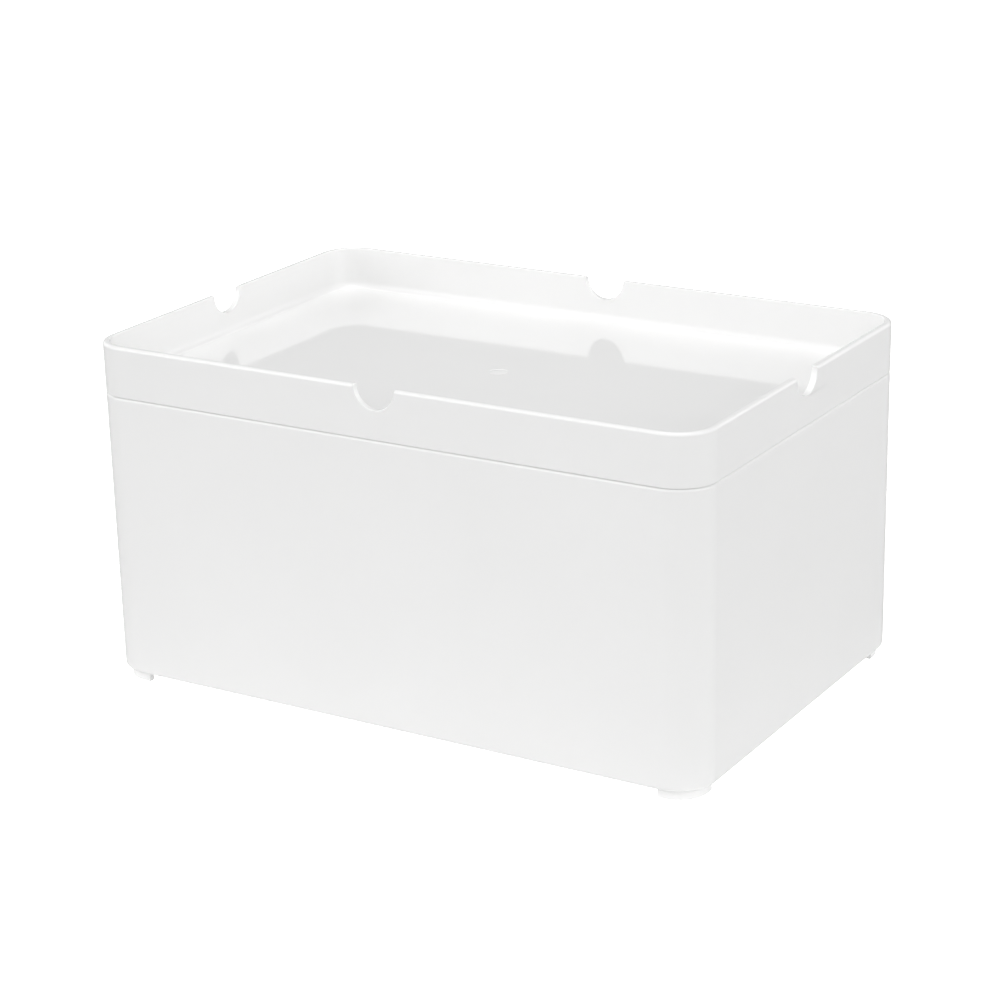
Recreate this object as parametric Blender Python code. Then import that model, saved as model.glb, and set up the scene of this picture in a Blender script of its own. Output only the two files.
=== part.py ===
"""A two-piece storage box: a deep bin, and a shallow tray that stands on the bin's rim.

Metres, +Z up. The origin is on the ground under the middle of the box, the long side runs
along X, and the finger notches are cut in the middle of each side of the tray.
"""
import math

import bmesh
import bpy
from mathutils import Matrix, Vector

# Outside of the pair
LENGTH = 0.300
WIDTH = 0.200
CORNER_RADIUS = 0.017
BIN_RIM_HEIGHT = 0.135
TRAY_WALL_HEIGHT = 0.023
SEAM_GAP = 0.0003

# Walls and floors
WALL = 0.003
BIN_FLOOR = 0.003
TRAY_FLOOR = 0.003
TRAY_DRAFT = 0.0001
BIN_DRAFT = 0.0003
BIN_CORE_DRAFT = 0.001

# Rounded edges. A rim is rounded over half of the wall on its outside, is flat on top over the
# rest, and has its inner edge lightly rounded
RIM_ROUND_SHARE = 0.5
RIM_INNER_ROUND = 0.0004
BASE_ROUND = 0.002
INNER_FILLET = 0.003
FOOT_ROUND = 0.0005

# Corner feet, the same on both mouldings
FOOT_HEIGHT = 0.0045
FOOT_THICKNESS = 0.003
FOOT_REACH = 0.020
FOOT_PLAY = 0.0004

# Finger notches, and the low dome in the middle of the tray's floor, over the moulding gate
NOTCH_RADIUS = 0.010
GATE_RADIUS = 0.0045
GATE_HEIGHT = 0.0004
GATE_TOP_SHARE = 0.4

# How far cutters run past what they cut, and how far joined solids reach into each other
OVERRUN = 0.005
JOIN_DEPTH = 0.001

CORNER_STEPS = 10
RIM_STEPS = 4
FILLET_STEPS = 3
NOTCH_STEPS = 40
GATE_STEPS = 24

# How far two faces turn at an edge that is rounded along the rim, or that is shaded as sharp
RIM_EDGE_ANGLE = math.radians(60)
SHARP_ANGLE = math.radians(30)

WHITE_PLASTIC = (0.86, 0.86, 0.85, 1.0)
GLOSS_ROUGHNESS = 0.12
ROUND_PROFILE_SHARE = 0.5


def clear_scene():
    for old in list(bpy.data.objects):
        bpy.data.objects.remove(old, do_unlink=True)


def new_collection(name):
    collection = bpy.data.collections.new(name)
    bpy.context.scene.collection.children.link(collection)
    return collection


def plastic(name):
    """Glossy opaque white plastic."""
    material = bpy.data.materials.new(name)
    material.use_nodes = True
    shader = material.node_tree.nodes["Principled BSDF"]
    shader.inputs["Base Color"].default_value = WHITE_PLASTIC
    shader.inputs["Roughness"].default_value = GLOSS_ROUGHNESS
    shader.inputs["Metallic"].default_value = 0.0
    return material


def add_object(name, bm, collection):
    mesh = bpy.data.meshes.new(name)
    bm.to_mesh(mesh)
    bm.free()
    made = bpy.data.objects.new(name, mesh)
    collection.objects.link(made)
    return made


def edges_where(bm, test):
    return [edge for edge in bm.edges if test(*(vert.co for vert in edge.verts))]


def is_upright(a, b):
    """True for an edge that runs up a corner, drafted or not."""
    return abs(a.z - b.z) > (a.xy - b.xy).length


def round_edges(bm, edges, radius, steps):
    bmesh.ops.bevel(bm, geom=edges, offset=radius, segments=steps, profile=ROUND_PROFILE_SHARE,
                    affect="EDGES")


def block(length, width, low, high, radius=0.0, draft=0.0, low_round=0.0, high_round=0.0):
    """A box with rounded upright corners, drawn in by its draft towards its base.

    Its lower and its upper edge can each be rounded.
    """
    bm = bmesh.new()
    bmesh.ops.create_cube(bm, size=1.0)
    bmesh.ops.scale(bm, vec=(length, width, high - low), verts=bm.verts)
    bmesh.ops.translate(bm, vec=(0, 0, (low + high) / 2), verts=bm.verts)
    for vert in bm.verts:
        if vert.co.z < (low + high) / 2:
            vert.co.x -= math.copysign(draft, vert.co.x)
            vert.co.y -= math.copysign(draft, vert.co.y)
    if radius:
        round_edges(bm, edges_where(bm, is_upright), radius, CORNER_STEPS)
    if low_round:
        near = low_round / FILLET_STEPS
        round_edges(bm, edges_where(bm, lambda a, b: max(a.z, b.z) < low + near), low_round, FILLET_STEPS)
    if high_round:
        near = high_round / RIM_STEPS
        round_edges(bm, edges_where(bm, lambda a, b: min(a.z, b.z) > high - near), high_round, RIM_STEPS)
    return bm


def boolean(target, cutter, operation):
    modifier = target.modifiers.new(cutter.name, "BOOLEAN")
    modifier.operation = operation
    modifier.solver = "EXACT"
    modifier.object = cutter


def make_guide(name, bm, collection):
    """A cutter, or a solid that is joined into another: never shown itself."""
    guide = add_object(name, bm, collection)
    guide.hide_render = True
    guide.display_type = "WIRE"
    return guide


def bake_modifiers(target):
    bpy.context.view_layer.update()
    evaluated = target.evaluated_get(bpy.context.evaluated_depsgraph_get())
    mesh = bpy.data.meshes.new_from_object(evaluated)
    target.modifiers.clear()
    target.data = mesh


def round_inner_edge(target, height, radius):
    """Rounds the one sharp edge at the rim, where the hollow was cut out of the rounded block."""
    bm = bmesh.new()
    bm.from_mesh(target.data)
    near = radius / RIM_STEPS
    rim = [
        edge for edge in edges_where(bm, lambda a, b: min(a.z, b.z) > height - near)
        if edge.calc_face_angle(0.0) > RIM_EDGE_ANGLE
    ]
    round_edges(bm, rim, radius, RIM_STEPS)
    bm.to_mesh(target.data)
    bm.free()


def corner_feet(name, length, width, radius, base, collection):
    """Four ribs under the corners: a ring that follows the walls, with its four sides cut away."""
    low = base - FOOT_HEIGHT
    top = base + JOIN_DEPTH
    ring = make_guide(name, block(length, width, low, top, radius, low_round=FOOT_ROUND), collection)
    inside = block(length - 2 * FOOT_THICKNESS, width - 2 * FOOT_THICKNESS,
                   low - OVERRUN, top + OVERRUN, radius - FOOT_THICKNESS)
    long_gap = block(LENGTH - 2 * FOOT_REACH, width + 2 * OVERRUN, low - OVERRUN, top + OVERRUN)
    short_gap = block(length + 2 * OVERRUN, WIDTH - 2 * FOOT_REACH, low - OVERRUN, top + OVERRUN)
    for part_name, bm in (("inside", inside), ("long_gap", long_gap), ("short_gap", short_gap)):
        boolean(ring, make_guide(f"{name}_{part_name}", bm, collection), "DIFFERENCE")
    bake_modifiers(ring)
    return ring


def moulded_shell(name, size, heights, drafts, floor, base_round, collections):
    """An open box: outer block less its hollow, with a rounded rim."""
    length, width = size
    base, rim = heights
    draft, core_draft = drafts
    parts, guides = collections
    outside = block(length, width, base, rim, CORNER_RADIUS, draft, base_round,
                    WALL * RIM_ROUND_SHARE)
    shell = add_object(name, outside, parts)
    # The hollow runs on past the rim along the same slope
    wall_height = rim - base
    slope = (draft + core_draft) / wall_height
    spread = slope * OVERRUN
    hollow = block(length - 2 * WALL + 2 * spread, width - 2 * WALL + 2 * spread,
                   base + floor, rim + OVERRUN, CORNER_RADIUS - WALL + spread,
                   slope * (wall_height - floor + OVERRUN), INNER_FILLET)
    boolean(shell, make_guide(f"{name}_hollow", hollow, guides), "DIFFERENCE")
    bake_modifiers(shell)
    round_inner_edge(shell, rim, RIM_INNER_ROUND)
    return shell


def make_bin(parts, guides, material):
    """The deep lower compartment, standing on its corner feet."""
    length = LENGTH - 2 * TRAY_DRAFT
    width = WIDTH - 2 * TRAY_DRAFT
    made = moulded_shell("bin", (length, width), (FOOT_HEIGHT, BIN_RIM_HEIGHT),
                         (BIN_DRAFT, BIN_CORE_DRAFT), BIN_FLOOR, BASE_ROUND, (parts, guides))
    inset = WALL + FOOT_PLAY
    feet = corner_feet("bin_feet", LENGTH - 2 * inset, WIDTH - 2 * inset,
                       CORNER_RADIUS - inset, FOOT_HEIGHT, guides)
    boolean(made, feet, "UNION")
    made.data.materials.append(material)
    return made


def notch_cutter(name, reach, quarter_turns, guides):
    """A lying cylinder, level with the rim, that cuts two facing notches at once."""
    bm = bmesh.new()
    bmesh.ops.create_cone(bm, cap_ends=True, segments=NOTCH_STEPS, radius1=NOTCH_RADIUS,
                          radius2=NOTCH_RADIUS, depth=reach + 2 * OVERRUN)
    bmesh.ops.rotate(bm, cent=Vector(), matrix=Matrix.Rotation(math.pi / 2, 3, "X"), verts=bm.verts)
    bmesh.ops.rotate(bm, cent=Vector(), verts=bm.verts,
                     matrix=Matrix.Rotation(quarter_turns * math.pi / 2, 3, "Z"))
    cutter = make_guide(name, bm, guides)
    cutter.location.z = BIN_RIM_HEIGHT + TRAY_WALL_HEIGHT
    return cutter


def gate_dome(floor_top, guides):
    """A low dome with a flat top, as wide as the mark at the floor, that widens on inside it."""
    top = GATE_RADIUS * GATE_TOP_SHARE
    bm = bmesh.new()
    bmesh.ops.create_cone(bm, cap_ends=True, segments=GATE_STEPS, radius1=2 * GATE_RADIUS - top,
                          radius2=top, depth=2 * GATE_HEIGHT)
    dome = make_guide("gate_dome", bm, guides)
    dome.location.z = floor_top
    return dome


def make_tray(parts, guides, material):
    """The shallow upper compartment, with its notches, its gate mark and its locating feet."""
    base = BIN_RIM_HEIGHT + SEAM_GAP
    rim = BIN_RIM_HEIGHT + TRAY_WALL_HEIGHT
    made = moulded_shell("tray", (LENGTH, WIDTH), (base, rim), (TRAY_DRAFT, 0.0),
                         TRAY_FLOOR, 0.0, (parts, guides))
    boolean(made, notch_cutter("long_side_notches", WIDTH, 0, guides), "DIFFERENCE")
    boolean(made, notch_cutter("short_side_notches", LENGTH, 1, guides), "DIFFERENCE")
    boolean(made, gate_dome(base + TRAY_FLOOR, guides), "UNION")
    inset = TRAY_DRAFT + WALL + FOOT_PLAY
    feet = corner_feet("tray_feet", LENGTH - 2 * inset, WIDTH - 2 * inset,
                       CORNER_RADIUS - inset, base, guides)
    boolean(made, feet, "UNION")
    made.data.materials.append(material)
    return made


def main():
    clear_scene()
    parts = new_collection("compartment_storage_box")
    guides = new_collection("cutters")
    material = plastic("white_plastic")
    for made in (make_bin(parts, guides, material), make_tray(parts, guides, material)):
        made.data.shade_smooth()
        made.data.set_sharp_from_angle(angle=SHARP_ANGLE)
    bpy.context.view_layer.update()


main()
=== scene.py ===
"""Looks of a white storage box: a deep bin, and a shallow tray that stands on the bin's rim.

Metres, +Z up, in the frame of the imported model: the origin is on the ground under the middle of
the box, and the long side runs along X. Each moulding is one closed surface, worked out as a
profile that is carried round a rounded rectangle.
"""
import math
from collections import namedtuple

import bpy
import numpy as np
from bpy.props import FloatProperty, FloatVectorProperty, IntProperty, PointerProperty
from mathutils import Matrix, Vector


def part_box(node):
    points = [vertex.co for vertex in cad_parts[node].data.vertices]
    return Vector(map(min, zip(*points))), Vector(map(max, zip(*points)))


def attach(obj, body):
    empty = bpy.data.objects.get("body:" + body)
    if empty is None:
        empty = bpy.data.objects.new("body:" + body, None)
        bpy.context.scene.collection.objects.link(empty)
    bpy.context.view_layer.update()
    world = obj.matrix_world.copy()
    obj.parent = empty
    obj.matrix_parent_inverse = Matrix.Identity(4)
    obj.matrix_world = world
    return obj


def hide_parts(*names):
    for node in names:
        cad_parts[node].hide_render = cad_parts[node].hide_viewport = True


bl_info = {
    "name": "Compartment Storage Box",
    "version": (1, 0, 0),
    "blender": (4, 5, 0),
    "location": "3D View > Sidebar > Storage Box",
    "description": "Makes a deep bin and the shallow tray that stands on its rim",
    "category": "Add Mesh",
}

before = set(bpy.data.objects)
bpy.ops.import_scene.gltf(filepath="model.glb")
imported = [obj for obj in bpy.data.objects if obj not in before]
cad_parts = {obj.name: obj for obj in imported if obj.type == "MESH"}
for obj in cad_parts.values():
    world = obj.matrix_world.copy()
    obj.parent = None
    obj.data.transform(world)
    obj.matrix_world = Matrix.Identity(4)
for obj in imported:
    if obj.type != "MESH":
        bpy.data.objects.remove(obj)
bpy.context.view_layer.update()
BIN_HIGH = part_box("bin")[1]
TRAY_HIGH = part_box("tray")[1]

# The four corners of a ring, anticlockwise from above, as the signs of their places
CORNER_SIGNS = np.array([(1, 1), (-1, 1), (-1, -1), (1, -1)], float)
QUARTER = math.pi / 2

# How far two faces turn at a crease
CREASE_ANGLE = math.radians(40)

# Where the edges of a notch are looked for: as near to its circle as this share of its radius, and
# further from the tray's middle than this share of the tray's width
NOTCH_SEARCH_SHARE = 0.25
NOTCH_PLACE_SHARE = 0.25

# Octaves of the plastic's noises, the strength of each beside the last, and the noises' mean
CLOUD_DETAIL = 3.0
RIPPLE_DETAIL = 1.0
NOISE_ROUGHNESS = 0.5
NOISE_MEAN = 0.5

# How many radii of the floor the camera sees
CLIP_RADII = 4

# Sines of elevation: where the side screens begin, and where they and the room's lit walls end
FLOOR_LINE = -0.2
ROOM_TOP = 0.5
# Each screen under the name of its brightness: its azimuth and half width in degrees, and the sines
# of the elevations of its lower and its upper end
Screen = namedtuple("Screen", "azimuth half_width low high")
SCREENS = {
    "left_screen": Screen(-90, 30, FLOOR_LINE, ROOM_TOP),
    "right_screen": Screen(90, 30, FLOOR_LINE, ROOM_TOP),
    "high_screen": Screen(30, 45, ROOM_TOP, 0.87),
    "low_screen": Screen(-42, 18, 0.05, 0.75),
    "far_screen": Screen(150, 14, FLOOR_LINE, ROOM_TOP),
}
# How soft the edges are: the screens' sides in degrees, their tops and the walls' in sines, and the
# turn from the room's front to its back in shares towards the front
SIDE_SOFTNESS = 8
TOP_SOFTNESS = 0.1
TURN_SOFTNESS = 0.25


def length_size(name, description, default):
    return FloatProperty(name=name, description=description, default=default, min=0.0,
                         precision=5, unit="LENGTH", subtype="DISTANCE")


def share(name, description, default):
    return FloatProperty(name=name, description=description, default=default, min=0.0, max=1.0)


def level(name, description, default):
    return FloatProperty(name=name, description=description, default=default, min=0.0)


def angle(name, description, degrees):
    return FloatProperty(name=name, description=description, default=math.radians(degrees),
                         unit="ROTATION", subtype="ANGLE")


def colour(name, description, default):
    return FloatVectorProperty(name=name, description=description, default=default, size=4,
                               subtype="COLOR", min=0.0, max=1.0)


def count(name, description, default):
    return IntProperty(name=name, description=description, default=default, min=2)


class MouldingSizes(bpy.types.PropertyGroup):
    """What the two mouldings have in common."""
    wall: length_size("Wall", "Thickness of the walls", 0.003)
    floor: length_size("Floor", "Thickness of the floors", 0.003)
    corner_radius: length_size("Corner radius", "Outer radius of the upright corners", 0.017)
    rim_round: length_size("Rim round", "Radius along the outside of a rim", 0.0015)
    rim_inner_round: length_size("Rim inner round", "Radius along the inside of a rim", 0.0004)
    inner_fillet: length_size("Inner fillet", "Radius between a wall and its floor", 0.003)
    foot_height: length_size("Foot height", "How far the corner feet stand below the base", 0.0045)
    foot_thickness: length_size("Foot thickness", "Thickness of a foot, across its rib", 0.003)
    foot_reach: length_size("Foot reach", "From the outside of the box to the end of a foot", 0.020)
    foot_play: length_size("Foot play", "How far a foot stands in from the inside of a wall", 0.0004)
    foot_round: length_size("Foot round", "Radius along the lower edges of a foot", 0.0005)
    foot_root: length_size("Foot root", "How far a foot runs up into its floor", 0.001)
    seam_gap: length_size("Seam gap", "Gap between the bin's rim and the tray", 0.0003)


class BinSizes(bpy.types.PropertyGroup):
    """The deep lower moulding."""
    length: length_size("Length", "Outside length at the rim", 2 * BIN_HIGH.x)
    width: length_size("Width", "Outside width at the rim", 2 * BIN_HIGH.y)
    rim: length_size("Rim height", "Height of the rim above the ground", BIN_HIGH.z)
    draft: length_size("Draft", "How far the outside is drawn in at the base", 0.0003)
    core_draft: length_size("Core draft", "How much further the inside is drawn in", 0.001)
    base_round: length_size("Base round", "Radius along the lower edge", 0.002)
    base_drop: length_size("Base drop", "How far the base reaches down past its height", 0.0)


class TraySizes(bpy.types.PropertyGroup):
    """The shallow upper moulding."""
    length: length_size("Length", "Outside length at the rim", 2 * TRAY_HIGH.x)
    width: length_size("Width", "Outside width at the rim", 2 * TRAY_HIGH.y)
    rim: length_size("Rim height", "Height of the rim above the ground", TRAY_HIGH.z)
    draft: length_size("Draft", "How far the outside is drawn in at the base", 0.0001)
    base_round: length_size("Base round", "Radius along the lower edge", 0.0002)
    base_drop: length_size("Base drop", "How far the base reaches down into the seam's gap", 0.00022)
    notch_radius: length_size("Notch radius", "Radius of the finger notches", 0.010)
    notch_round: length_size("Notch round", "Radius along the edges of the notches", 0.0004)
    gate_radius: length_size("Gate radius", "Radius of the low dome over the moulding gate", 0.0045)
    gate_height: length_size("Gate height", "Height of the dome", 0.0004)


class Fineness(bpy.types.PropertyGroup):
    """Numbers of steps on the surfaces."""
    corner: count("Corner", "Steps round an upright corner", 24)
    side: count("Side", "Steps along a straight side", 12)
    wall: count("Wall", "Steps up a wall", 6)
    rim: count("Rim", "Steps round the outside of a rim", 10)
    edge: count("Edge", "Steps round the inner edge of a rim", 3)
    fillet: count("Fillet", "Steps round a base edge or a fillet", 8)
    floor: count("Floor", "Steps from a wall to the middle of a floor", 6)
    dome: count("Dome", "Steps from the edge of the dome to its middle", 16)
    notch: count("Notch", "Steps round a whole notch cylinder", 120)
    notch_edge: count("Notch edge", "Steps round the edge of a notch", 4)
    disc: count("Disc", "Steps round the disc that the box stands on", 96)
    disc_rows: count("Disc rows", "Rings of that disc", 8)


class PlasticFinish(bpy.types.PropertyGroup):
    """Glossy white moulded plastic."""
    light: colour("Light tone", "The lighter tone of the plastic", (0.860, 0.860, 0.857, 1.0))
    dark: colour("Dark tone", "The darker tone of its faint clouds", (0.835, 0.835, 0.832, 1.0))
    roughness: share("Roughness", "Mean roughness of the moulded surface", 0.07)
    roughness_change: share("Roughness change", "How much the roughness varies", 0.04)
    ior: FloatProperty(name="IOR", description="Refractive index of the plastic", default=1.5)
    cloud_size: length_size("Cloud size", "Size of the faint clouds of tone", 0.060)
    wave_size: length_size("Wave size", "Size of the broad ripples of the mould", 0.030)
    peel_size: length_size("Peel size", "Size of the finest ripples", 0.0016)
    wave_height: length_size("Wave height", "Height of the broad ripples of the mould", 0.000004)
    peel_height: length_size("Peel height", "Height of the finest ripples", 0.0000003)


class Studio(bpy.types.PropertyGroup):
    """Floor, lights, surroundings and camera."""
    floor_radius: length_size("Floor radius", "Radius of the floor's disc", 15.0)
    floor_colour: colour("Floor colour", "Colour of the pale floor", (0.72, 0.72, 0.72, 1.0))
    floor_glow: share("Floor glow", "Light that the floor gives off close to the box", 0.134)
    glow_reach: length_size("Glow reach", "How far from the box the floor's glow dies away", 0.030)
    under_glow: share("Under glow", "Light that the floor gives off under the box", 0.22)
    under_reach: length_size("Under reach", "How far that light runs on past the box", 0.003)
    floor_seen: share("Floor seen", "Least brightness of the floor in the picture", 0.93)
    room_colour: colour("Room colour", "Colour of the room's walls and screens", (0.8, 0.8, 0.8, 1.0))
    room_seen: level("Room seen", "Brightness of the room in the picture", 1.25)
    room_front: level("Room front", "Brightness of the walls before the box", 0.75)
    room_back: level("Room back", "Brightness of the walls behind the box", 0.52)
    left_screen: level("Left screen", "Brightness that a screen adds on the left of the room", 1.4)
    right_screen: level("Right screen", "Brightness that a screen adds on the right of the room", 2.2)
    high_screen: level("High screen", "Brightness of the screen high before the box", 2.3)
    low_screen: level("Low screen", "Brightness that a screen adds before the box, to its left", 2.3)
    far_screen: level("Far screen", "Brightness that a screen adds behind the box, to its right", 1.3)
    top_power: level("Top power", "Power of the softbox over the box, in watts", 9.3)
    top_elevation: angle("Top elevation", "Of the softbox, above the horizon at the front", 88)
    top_distance: length_size("Top distance", "From the ground under the box to the softbox", 1.5)
    top_length: length_size("Top length", "Of the softbox's window, from left to right", 1.0)
    top_width: length_size("Top width", "Of the softbox's window, from front to back", 0.8)
    camera_azimuth: angle("Camera azimuth", "Round the box from the front, towards +X", 31.3471)
    camera_elevation: angle("Camera elevation", "Above the horizon", 19.0486)
    camera_roll: angle("Camera roll", "Turn about the view's own axis", -1.313)
    camera_distance: length_size("Camera distance", "From the camera to its target", 1.25831)
    camera_target: FloatVectorProperty(name="Camera target", description="Point at the picture's middle",
                                       default=(0.00054, -0.00215, 0.07895), subtype="TRANSLATION")
    lens: FloatProperty(name="Lens", description="Focal length in millimetres", default=100.875)
    sensor: FloatProperty(name="Sensor", description="Width of the sensor in millimetres", default=36.0)


class StorageBox(bpy.types.PropertyGroup):
    """Everything that a user would change."""
    moulding: PointerProperty(type=MouldingSizes)
    bin: PointerProperty(type=BinSizes)
    tray: PointerProperty(type=TraySizes)
    fineness: PointerProperty(type=Fineness)
    plastic: PointerProperty(type=PlasticFinish)
    studio: PointerProperty(type=Studio)


# Surfaces

def unit(vector):
    return vector / np.linalg.norm(vector)


def rounded(corners, radii, steps):
    """An open outline whose inner corners are rounded.

    Each corner gives way to an arc that is tangent to both of its sides. The arc's centre lies
    radius / sin(half the corner's angle) along the bisector, and its ends radius / tan(half the
    angle) along the sides. Its points are the two end spokes blended by sines, which turns evenly.
    """
    corners = np.asarray(corners, float)
    points = [corners[:1]]
    for before, corner, after, radius, number in zip(corners, corners[1:], corners[2:], radii, steps):
        back, ahead = unit(before - corner), unit(after - corner)
        half = math.acos(float(back @ ahead)) / 2
        centre = corner + unit(back + ahead) * radius / math.sin(half)
        spokes = corner + np.array([back, ahead]) * radius / math.tan(half) - centre
        turn = math.pi - 2 * half
        t = np.linspace(0, 1, number + 1)[:, None]
        points.append(centre + (np.sin((1 - t) * turn) * spokes[0] + np.sin(t * turn) * spokes[1])
                      / math.sin(turn))
    points.append(corners[-1:])
    return np.vstack(points)


def divided(outline, longest):
    """The same outline, with its long straight runs cut into equal steps no longer than longest."""
    pieces = [outline[:1]]
    for start, end in zip(outline, outline[1:]):
        number = max(1, math.ceil(np.linalg.norm(end - start) / longest))
        t = np.linspace(0, 1, number + 1)[1:, None]
        pieces.append(start + t * (end - start))
    return np.vstack(pieces)


def ring_places(fineness):
    """Where the points of a ring lie, for a ring of any size.

    Returns each point's corner place, which slides from one corner's signs to the next along a
    side, and its outward direction, which turns a quarter at each corner.
    """
    arc = np.linspace(0, QUARTER, fineness.corner + 1)
    slide = np.linspace(0, 1, fineness.side + 1)[1:-1, None]
    places, turns = [], []
    for number, here in enumerate(CORNER_SIGNS):
        there = CORNER_SIGNS[(number + 1) % len(CORNER_SIGNS)]
        places += [np.repeat(here[None], len(arc), 0), here + slide * (there - here)]
        turns += [number * QUARTER + arc, np.full(len(slide), (number + 1) * QUARTER)]
    turns = np.concatenate(turns)
    return np.vstack(places), np.column_stack([np.cos(turns), np.sin(turns)])


def rings(places, outward, half_sizes, radii, heights):
    """Rounded rectangles at their heights.

    A point is its corner place times the half size less the radius, plus the radius times its
    outward direction.
    """
    flat = places * (half_sizes - radii[:, None])[:, None, :] + outward * radii[:, None, None]
    z = np.broadcast_to(heights[:, None, None], flat.shape[:2] + (1,))
    return np.concatenate([flat, z], axis=2)


def closed_grid(rows, first, last):
    """Points and faces of rows of points, each row closed round, that end in two poles."""
    number, around = rows.shape[:2]
    points = np.vstack([rows.reshape(-1, 3), first, last])
    index = np.arange(number * around).reshape(number, around)
    after = np.roll(index, -1, axis=1)
    quads = np.stack([index[:-1], after[:-1], after[1:], index[1:]], axis=2).reshape(-1, 4)
    first_pole = np.full(around, number * around)
    opening = np.column_stack([first_pole, after[0], index[0]])
    closing = np.column_stack([first_pole + 1, index[-1], after[-1]])
    return points, quads.tolist() + opening.tolist() + closing.tolist()


def swept_bar(rows):
    """Points and faces of a bar: rows of points, each row a closed section, with its two ends filled."""
    number, around = rows.shape[:2]
    index = np.arange(number * around).reshape(number, around)
    after = np.roll(index, -1, axis=1)
    quads = np.stack([index[:-1], index[1:], after[1:], after[:-1]], axis=2).reshape(-1, 4)
    ends = [index[0].tolist(), index[-1, ::-1].tolist()]
    return rows.reshape(-1, 3), quads.tolist() + ends


def shell_outline(sizes, moulding, base, core_draft, fineness):
    """Section of an open box from under its floor, up its outside, over its rim and down to its floor.

    The points are (inset from the rim's outside, height). The outer wall leans in by the draft
    towards the base and the inner wall by the core draft as well, and each corner is rounded. The
    rim is flat between its outer and its inner round. Both ends run on level past the wall, by
    twice the inner fillet, which leaves the rounds their room.
    """
    height = sizes.rim - base
    floor_top = base + moulding.floor
    low = base - sizes.base_drop
    lean = (sizes.draft + core_draft) * (sizes.rim - floor_top) / height
    run = 2 * moulding.inner_fillet
    corners = [
        (sizes.draft + moulding.wall + run, low),
        (sizes.draft, low),
        (0.0, sizes.rim),
        (moulding.wall, sizes.rim),
        (moulding.wall + lean, floor_top),
        (moulding.wall + lean + run, floor_top),
    ]
    radii = (sizes.base_round, moulding.rim_round, moulding.rim_inner_round, moulding.inner_fillet)
    steps = (fineness.fillet, fineness.rim, fineness.edge, fineness.fillet)
    return divided(rounded(corners, radii, steps), height / fineness.wall)


def shell_rows(sizes, moulding, base, core_draft, fineness):
    """The outline of a shell carried round its plan, as rows of rings.

    The half size is the rim's half size less the inset. The corner radius shrinks by as much as
    the ring is drawn in, less the draft at its height, because draft doesn't sharpen a corner.
    """
    inset, height = shell_outline(sizes, moulding, base, core_draft, fineness).T
    draft = sizes.draft * (sizes.rim - height) / (sizes.rim - base)
    half_sizes = np.array([sizes.length, sizes.width]) / 2 - inset[:, None]
    places, outward = ring_places(fineness)
    return rings(places, outward, half_sizes, moulding.corner_radius - inset + draft, height)


def towards_middle(ring, number, radius=0.0):
    """Rows on the level from a ring to a circle, or almost to the middle where there is no circle.

    A row is the ring blended with the circle's points in the same directions.
    """
    flat = ring[:, :2]
    directions = flat / np.linalg.norm(flat, axis=1, keepdims=True)
    blend = np.linspace(0, 1, number + 1)[1:]
    if not radius:
        blend = blend[:-1]
    blend = blend[:, None, None]
    rows = (1 - blend) * flat + blend * radius * directions
    return np.concatenate([rows, np.broadcast_to(ring[:, 2:], rows.shape[:2] + (1,))], axis=2)


def dome_rows(circle, height, number):
    """A low round dome on a circle of points, from its edge almost to its middle.

    A row is the circle times its share of the radius, and lies above it by the height times
    (1 - the share squared).
    """
    shares = np.linspace(1, 0, number + 1)[1:-1, None, None]
    rows = shares * circle
    rows[..., 2:] = circle[:, 2:] + height * (1 - shares ** 2)
    return rows


def foot_rows(corner, half_sizes, inset, low, high, moulding, fineness):
    """One corner foot: a rounded section carried round the corner and on along both sides.

    A point is the corner's centre, plus its own radius times the outward direction, plus the run
    along the tangent, which is nought on the arc itself.
    """
    inner = inset + moulding.foot_thickness
    section = rounded([(inner, high), (inner, low), (inset, low), (inset, high)],
                      (moulding.foot_round,) * 2, (fineness.fillet,) * 2)
    run = moulding.foot_reach - moulding.corner_radius
    arc = corner * QUARTER + np.linspace(0, QUARTER, fineness.corner + 1)
    turns = np.concatenate([arc[:1], arc, arc[-1:]])[:, None]
    runs = np.concatenate([[-run], np.zeros(len(arc)), [run]])[:, None]
    centre = CORNER_SIGNS[corner] * (half_sizes - moulding.corner_radius)
    radii = moulding.corner_radius - section[:, 0]
    x = centre[0] + radii * np.cos(turns) - runs * np.sin(turns)
    y = centre[1] + radii * np.sin(turns) + runs * np.cos(turns)
    z = np.broadcast_to(section[:, 1], x.shape)
    return np.stack([x, y, z], axis=2)


def lying_cylinder(radius, reach, height, along, number):
    """A cylinder lying level through the box, as two circles joined. Along is 0 for X and 1 for Y.

    A point lies across by the radius times the cosine of its turn, and up by the radius times the
    sine. The circles run the way round that makes the faces point outwards.
    """
    turns = np.linspace(0, 2 * math.pi, number, endpoint=False)
    across = radius * np.cos(turns)
    up = height + radius * np.sin(turns)
    rows = np.empty((2, number, 3))
    rows[..., along] = np.array([[-reach], [reach]])
    rows[..., 1 - along] = across
    rows[..., 2] = up
    if along == 1:
        rows = rows[:, ::-1]
    return swept_bar(rows[:, ::-1])


# Meshes

def mesh_points(mesh):
    points = np.empty(len(mesh.vertices) * 3)
    mesh.vertices.foreach_get("co", points)
    return points.reshape(-1, 3)


def signed_volume(mesh):
    """Six times the volume, as the sum over the triangles of the product of their three corners."""
    mesh.calc_loop_triangles()
    corners = np.empty(len(mesh.loop_triangles) * 3, np.int32)
    mesh.loop_triangles.foreach_get("vertices", corners)
    a, b, c = mesh_points(mesh)[corners.reshape(-1, 3)].transpose(1, 0, 2)
    return float(np.einsum("ij,ij->", a, np.cross(b, c)))


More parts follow.
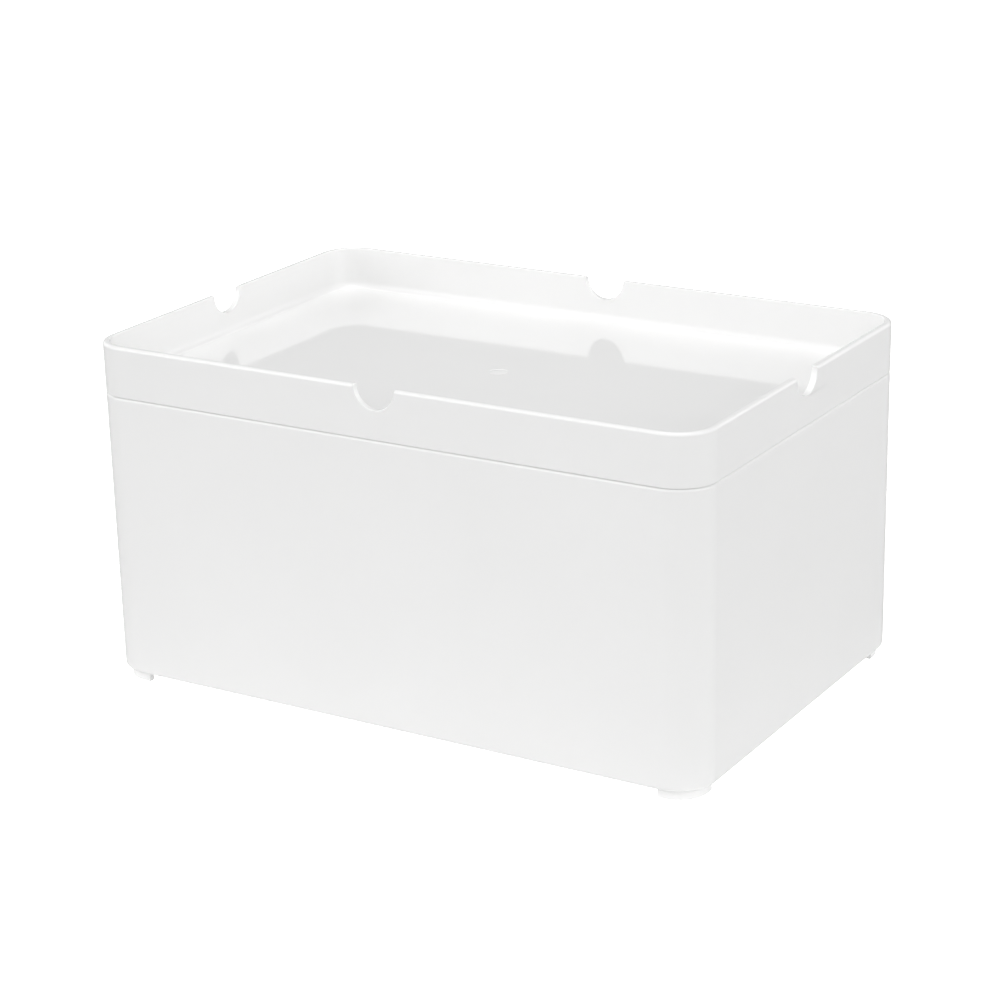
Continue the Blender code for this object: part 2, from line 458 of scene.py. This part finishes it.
def new_piece(name, surface):
    """An object with its place in its mesh. It raises an error if its faces don't point out."""
    points, faces = surface
    mesh = bpy.data.meshes.new(name)
    mesh.from_pydata(points, [], faces)
    mesh.update()
    if signed_volume(mesh) <= 0:
        raise RuntimeError(f"the faces of {name} don't point outwards")
    piece = bpy.data.objects.new(name, mesh)
    bpy.context.scene.collection.objects.link(piece)
    return piece


def add_modifier(piece, name, kind, **settings):
    modifier = piece.modifiers.new(name, kind)
    for key, value in settings.items():
        setattr(modifier, key, value)


def bake(piece):
    """Puts the result of the piece's modifiers in its mesh, and lets the modifiers go."""
    bpy.context.view_layer.update()
    evaluated = piece.evaluated_get(bpy.context.evaluated_depsgraph_get())
    piece.data = bpy.data.meshes.new_from_object(evaluated)
    piece.modifiers.clear()


def combine(piece, operation, surfaces):
    """Joins the surfaces to the piece, or cuts them out of it, one after the other."""
    tools = [new_piece(f"{piece.name}_tool_{number}", surface) for number, surface in enumerate(surfaces)]
    for tool in tools:
        add_modifier(piece, tool.name, "BOOLEAN", operation=operation, solver="EXACT", object=tool)
    bake(piece)
    for tool in tools:
        bpy.data.objects.remove(tool, do_unlink=True)
    if not piece.data.polygons:
        raise RuntimeError(f"nothing is left of {piece.name} after its {operation.lower()}")


def finish_shading(piece):
    """Smooth faces, with creases where two of them turn by more than the crease angle."""
    piece.data.shade_smooth()
    piece.data.set_sharp_from_angle(angle=CREASE_ANGLE)
    add_modifier(piece, "even_shading", "WEIGHTED_NORMAL", mode="FACE_AREA", keep_sharp=True)
    bake(piece)


def edge_points(mesh):
    """The two ends of each edge, as one array."""
    ends = np.empty(len(mesh.edges) * 2, np.int32)
    mesh.edges.foreach_get("vertices", ends)
    return mesh_points(mesh)[ends.reshape(-1, 2)]


def soften_notches(tray, sizes, steps):
    """Rounds the edges of the notches.

    An edge belongs to one if it is a crease and both of its ends lie near the walls, and at about
    the notch radius from the line through the middle of two facing notches.
    """
    mesh = tray.data
    mesh.set_sharp_from_angle(angle=CREASE_ANGLE)
    creases = np.zeros(len(mesh.edges), bool)
    mesh.attributes["sharp_edge"].data.foreach_get("value", creases)
    ends = edge_points(mesh)
    tolerance = NOTCH_SEARCH_SHARE * sizes.notch_radius
    at_notch = np.zeros(len(ends), bool)
    for across in (0, 1):
        distance = np.hypot(ends[..., across], ends[..., 2] - sizes.rim)
        near_wall = np.abs(ends[..., 1 - across]) > NOTCH_PLACE_SHARE * sizes.width
        at_notch |= ((np.abs(distance - sizes.notch_radius) < tolerance) & near_wall).all(axis=1)
    weights = mesh.attributes.new("bevel_weight_edge", "FLOAT", "EDGE")
    weights.data.foreach_set("value", (creases & at_notch).astype(np.float32))
    mesh.attributes.remove(mesh.attributes["sharp_edge"])
    add_modifier(tray, "notch_edges", "BEVEL", limit_method="WEIGHT", width=sizes.notch_round,
                 segments=steps, use_clamp_overlap=False)
    bake(tray)


# Materials

class Wire:
    """A socket of a node tree, which can be used in a sum as a number is."""

    def __init__(self, tree, socket):
        self.tree = tree
        self.socket = socket

    def node(self, kind, settings, sockets, output=0):
        """A new node of a type, with its settings set first and then the values or links of its sockets."""
        made = self.tree.nodes.new(kind)
        for name, value in settings.items():
            setattr(made, name, value)
        for name, value in sockets.items():
            if isinstance(value, Wire):
                self.tree.links.new(value.socket, made.inputs[name])
            else:
                made.inputs[name].default_value = value
        return Wire(self.tree, made.outputs[output])

    def maths(self, operation, first, second):
        return self.node("ShaderNodeMath", {"operation": operation}, {0: first, 1: second})

    def vectors(self, operation, *others, output=0):
        """Vector Math on this wire and the others. Its output 0 is a vector, and output 1 a number."""
        return self.node("ShaderNodeVectorMath", {"operation": operation},
                         dict(enumerate((self, *others))), output)

    def __add__(self, other):
        return self.maths("ADD", self, other)

    def __sub__(self, other):
        return self.maths("SUBTRACT", self, other)

    def __rsub__(self, other):
        return self.maths("SUBTRACT", other, self)

    def __mul__(self, other):
        return self.maths("MULTIPLY", self, other)

    def __rpow__(self, other):
        return self.maths("POWER", other, self)

    __radd__ = __add__
    __rmul__ = __mul__


def mix_colours(wire, factor, first, second):
    return wire.node("ShaderNodeMix", {"data_type": "RGBA"}, {0: factor, 6: first, 7: second}, output=2)


def new_material(name):
    """An empty material, with a wire of its object coordinates and its output node."""
    material = bpy.data.materials.new(name)
    material.use_nodes = True
    tree = material.node_tree
    tree.nodes.clear()
    output = tree.nodes.new("ShaderNodeOutputMaterial")
    coordinates = tree.nodes.new("ShaderNodeTexCoord")
    return material, Wire(tree, coordinates.outputs["Object"]), output


def ramp(wire, low, high, at_low, at_high):
    """A smooth step of the value from one level to another, between two places."""
    return wire.node("ShaderNodeMapRange", {"interpolation_type": "SMOOTHSTEP"},
                     {"Value": wire, "From Min": low, "From Max": high, "To Min": at_low, "To Max": at_high})


def noise(place, size, detail):
    return place.node("ShaderNodeTexNoise", {"noise_dimensions": "3D"}, {
        "Vector": place, "Scale": 1 / size, "Detail": detail, "Roughness": NOISE_ROUGHNESS,
    })


def white_plastic(name, finish):
    """Glossy white plastic with faint clouds of tone, and the slight ripples that a polished mould leaves."""
    material, place, output = new_material(name)
    clouds = noise(place, finish.cloud_size, CLOUD_DETAIL)
    waves = noise(place, finish.wave_size, RIPPLE_DETAIL)
    peel = noise(place, finish.peel_size, RIPPLE_DETAIL)
    tone = mix_colours(place, clouds, tuple(finish.dark), tuple(finish.light))
    roughness = finish.roughness + finish.roughness_change * (clouds - NOISE_MEAN)
    height = finish.wave_height * waves + finish.peel_height * peel
    normal = place.node("ShaderNodeBump", {}, {"Strength": 1.0, "Distance": 1.0, "Height": height})
    shader = place.node("ShaderNodeBsdfPrincipled", {}, {
        "Base Color": tone, "Roughness": roughness, "Normal": normal, "IOR": finish.ior,
    })
    place.tree.links.new(shader.socket, output.inputs["Surface"])
    return material


def floor_material(studio):
    """A pale matt sweep, overexposed in the picture, that glows close to the box as a lit plinth does.

    The glow is a Gaussian of the distance from the box's footprint, which is the length of what the
    place's sizes have over half the box. More light comes from under the box, and ends just past it.
    """
    material, place, output = new_material("floor_sweep")
    half_box = (BIN_HIGH.x, BIN_HIGH.y, 0)
    over = place.vectors("ABSOLUTE").vectors("SUBTRACT", half_box)
    away = over.vectors("MAXIMUM", (0, 0, 0)).vectors("LENGTH", output=1)
    fall = away * (1 / studio.glow_reach)
    glow = studio.floor_glow * (math.e ** (-1 * fall * fall))
    under = ramp(away, 0.0, studio.under_reach, studio.under_glow, 0.0)
    seen = place.node("ShaderNodeLightPath", {}, {})
    shine = glow + under + seen * studio.floor_seen
    emission = place.node("ShaderNodeCombineColor", {}, {0: shine, 1: shine, 2: shine})
    shader = place.node("ShaderNodeBsdfPrincipled", {}, {
        "Base Color": tuple(studio.floor_colour), "Roughness": 1.0, "Specular IOR Level": 0.0,
        "Emission Color": emission, "Emission Strength": 1.0,
    })
    place.tree.links.new(shader.socket, output.inputs["Surface"])
    return material


# Stage

def floor_disc(radius, number, rows):
    """A level disc: a point is a share of the radius times its direction, and the shares grow by squares."""
    turns = np.linspace(0, 2 * math.pi, number, endpoint=False)
    shares = (np.linspace(0, 1, rows + 1)[1:] ** 2)[:, None]
    disc = np.stack([shares * radius * np.cos(turns), shares * radius * np.sin(turns),
                     np.zeros((rows, number))], axis=2)
    index = np.arange(rows * number).reshape(rows, number)
    after = np.roll(index, -1, axis=1)
    quads = np.stack([index[:-1], index[1:], after[1:], after[:-1]], axis=2).reshape(-1, 4)
    points = np.vstack([disc.reshape(-1, 3), np.zeros(3)])
    middle = np.column_stack([np.full(number, rows * number), index[0], after[0]])
    return points, quads.tolist() + middle.tolist()


def direction(azimuth, elevation):
    """Unit vector away from the box. Azimuth 0 is the front, and it grows towards +X."""
    return Vector((math.sin(azimuth) * math.cos(elevation), -math.cos(azimuth) * math.cos(elevation),
                   math.sin(elevation)))


def top_softbox(studio):
    """A rectangular area light over the box, a little before it, that looks at the box."""
    light = bpy.data.lights.new("top_softbox", "AREA")
    light.shape = "RECTANGLE"
    light.size = studio.top_length
    light.size_y = studio.top_width
    light.energy = studio.top_power
    lamp = bpy.data.objects.new("top_softbox", light)
    away = direction(0.0, studio.top_elevation)
    lamp.location = away * studio.top_distance
    lamp.rotation_euler = away.to_track_quat("Z", "Y").to_euler()
    bpy.context.scene.collection.objects.link(lamp)


def screen(place, sine, area):
    """A soft-edged screen far away: 1 inside it and nought outside.

    It reaches as far round from its azimuth as its half width, and up from one sine of elevation to
    the other. Both limits are smooth steps.
    """
    bearing = place.vectors("MULTIPLY", (1, 1, 0)).vectors("NORMALIZE")
    aim = tuple(direction(math.radians(area.azimuth), 0.0))
    near = bearing.vectors("DOT_PRODUCT", aim, output=1)
    outer = math.cos(math.radians(area.half_width + SIDE_SOFTNESS))
    inner = math.cos(math.radians(area.half_width - SIDE_SOFTNESS))
    return (ramp(near, outer, inner, 0.0, 1.0)
            * ramp(sine, area.low - TOP_SOFTNESS, area.low + TOP_SOFTNESS, 0.0, 1.0)
            * ramp(sine, area.high - TOP_SOFTNESS, area.high + TOP_SOFTNESS, 1.0, 0.0))


def surroundings(studio):
    """A room with pale walls under a dark ceiling, and screens in it.

    The walls' brightness runs smoothly from back to front with the direction's share towards the
    front, and falls to nothing round the sine of the elevation at which they end. The camera
    sees an even white in place of it all.
    """
    world = bpy.data.worlds.new("studio_room")
    bpy.context.scene.world = world
    world.use_nodes = True
    tree = world.node_tree
    tree.nodes.clear()
    output = tree.nodes.new("ShaderNodeOutputWorld")
    coordinates = tree.nodes.new("ShaderNodeTexCoord")
    place = Wire(tree, coordinates.outputs["Generated"])
    sine = place.node("ShaderNodeSeparateXYZ", {}, {0: place}, output=2)
    front = tuple(direction(studio.camera_azimuth, 0.0))
    ahead = place.vectors("DOT_PRODUCT", front, output=1)
    turn = ramp(ahead, -TURN_SOFTNESS, TURN_SOFTNESS, studio.room_back, studio.room_front)
    room = turn * ramp(sine, ROOM_TOP - TOP_SOFTNESS, ROOM_TOP + TOP_SOFTNESS, 1.0, 0.0)
    for name, area in SCREENS.items():
        room = room + getattr(studio, name) * screen(place, sine, area)
    seen = place.node("ShaderNodeLightPath", {}, {})
    strength = room + seen * (studio.room_seen - room)
    background = place.node("ShaderNodeBackground", {}, {
        "Color": tuple(studio.room_colour), "Strength": strength,
    })
    tree.links.new(background.socket, output.inputs["Surface"])


def studio_camera(studio):
    """A camera at the photograph's viewing angle, with its slight roll."""
    camera = bpy.data.cameras.new("camera")
    camera.lens = studio.lens
    camera.sensor_width = studio.sensor
    camera.clip_end = CLIP_RADII * studio.floor_radius
    holder = bpy.data.objects.new("camera", camera)
    back = direction(studio.camera_azimuth, studio.camera_elevation)
    turn = back.to_track_quat("Z", "Y").to_matrix().to_4x4()
    roll = Matrix.Rotation(studio.camera_roll, 4, "Z")
    place = Matrix.Translation(Vector(studio.camera_target) + back * studio.camera_distance)
    holder.matrix_world = place @ turn @ roll
    bpy.context.scene.collection.objects.link(holder)
    bpy.context.scene.camera = holder


# Operators

def make_feet(box, base, inset):
    """The four corner feet as closed surfaces that reach up into the floor.

    The feet of both mouldings are placed from the tray's outside, because the two stand in line.
    """
    moulding = box.moulding
    outside = np.array([box.tray.length, box.tray.width]) / 2
    low, high = base - moulding.foot_height, base + moulding.foot_root
    return [swept_bar(foot_rows(corner, outside, inset, low, high, moulding, box.fineness))
            for corner in range(len(CORNER_SIGNS))]


def dress(piece, body, node, material):
    """Gives the piece its material, ties it to the body, and hides the CAD node that it stands for."""
    piece.data.materials.clear()
    piece.data.materials.append(material)
    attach(piece, body)
    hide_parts(node)


class STORAGEBOX_OT_make_bin(bpy.types.Operator):
    """Makes the deep bin with its corner feet"""
    bl_idname = "storage_box.make_bin"
    bl_label = "Make Bin"

    def execute(self, context):
        box = context.scene.storage_box
        sizes, moulding, fineness = box.bin, box.moulding, box.fineness
        base = moulding.foot_height
        rows = shell_rows(sizes, moulding, base, sizes.core_draft, fineness)
        under = towards_middle(rows[0], fineness.floor)[::-1]
        floor = towards_middle(rows[-1], fineness.floor)
        surface = closed_grid(np.concatenate([under, rows, floor]),
                              (0, 0, base), (0, 0, base + moulding.floor))
        piece = new_piece("bin_moulding", surface)
        combine(piece, "UNION", make_feet(box, base, moulding.wall + moulding.foot_play))
        finish_shading(piece)
        dress(piece, "bin", "bin", white_plastic("bin_plastic", box.plastic))
        return {"FINISHED"}


class STORAGEBOX_OT_make_tray(bpy.types.Operator):
    """Makes the shallow tray with its finger notches, gate mark and corner feet"""
    bl_idname = "storage_box.make_tray"
    bl_label = "Make Tray"

    def execute(self, context):
        box = context.scene.storage_box
        sizes, moulding, fineness = box.tray, box.moulding, box.fineness
        base = box.bin.rim + moulding.seam_gap
        rows = shell_rows(sizes, moulding, base, 0.0, fineness)
        under = towards_middle(rows[0], fineness.floor)[::-1]
        floor = towards_middle(rows[-1], fineness.floor, sizes.gate_radius)
        dome = dome_rows(floor[-1], sizes.gate_height, fineness.dome)
        surface = closed_grid(np.concatenate([under, rows, floor, dome]), (0, 0, base - sizes.base_drop),
                              (0, 0, base + moulding.floor + sizes.gate_height))
        piece = new_piece("tray_moulding", surface)
        notches = [lying_cylinder(sizes.notch_radius, sizes.length, sizes.rim, along, fineness.notch)
                   for along in (0, 1)]
        combine(piece, "DIFFERENCE", notches)
        soften_notches(piece, sizes, fineness.notch_edge)
        combine(piece, "UNION", make_feet(box, base, sizes.draft + moulding.wall + moulding.foot_play))
        finish_shading(piece)
        dress(piece, "tray", "tray", white_plastic("tray_plastic", box.plastic))
        return {"FINISHED"}


class STORAGEBOX_OT_make_stage(bpy.types.Operator):
    """Makes the pale floor, the softbox, the surroundings and the camera"""
    bl_idname = "storage_box.make_stage"
    bl_label = "Make Stage"

    def execute(self, context):
        box = context.scene.storage_box
        studio, fineness = box.studio, box.fineness
        context.scene.view_settings.view_transform = "Standard"
        points, faces = floor_disc(studio.floor_radius, fineness.disc, fineness.disc_rows)
        mesh = bpy.data.meshes.new("floor")
        mesh.from_pydata(points, [], faces)
        mesh.materials.append(floor_material(studio))
        floor = bpy.data.objects.new("floor", mesh)
        context.scene.collection.objects.link(floor)
        top_softbox(studio)
        surroundings(studio)
        studio_camera(studio)
        return {"FINISHED"}


class VIEW3D_PT_storage_box(bpy.types.Panel):
    """The storage box's sizes, finish and operators"""
    bl_label = "Storage Box"
    bl_space_type = "VIEW_3D"
    bl_region_type = "UI"
    bl_category = "Storage Box"

    def draw(self, context):
        box = context.scene.storage_box
        for group in (box.moulding, box.bin, box.tray, box.fineness, box.plastic, box.studio):
            column = self.layout.column(align=True)
            for name in group.__annotations__:
                column.prop(group, name)
        for operator in OPERATORS:
            self.layout.operator(operator.bl_idname)


OPERATORS = (STORAGEBOX_OT_make_stage, STORAGEBOX_OT_make_bin, STORAGEBOX_OT_make_tray)
CLASSES = (MouldingSizes, BinSizes, TraySizes, Fineness, PlasticFinish, Studio, StorageBox,
           *OPERATORS, VIEW3D_PT_storage_box)


def register():
    for item in CLASSES:
        bpy.utils.register_class(item)
    bpy.types.Scene.storage_box = PointerProperty(type=StorageBox)


def unregister():
    del bpy.types.Scene.storage_box
    for item in reversed(CLASSES):
        bpy.utils.unregister_class(item)


def main():
    register()
    bpy.ops.storage_box.make_stage()
    bpy.ops.storage_box.make_bin()
    bpy.ops.storage_box.make_tray()


if __name__ == "__main__":
    main()
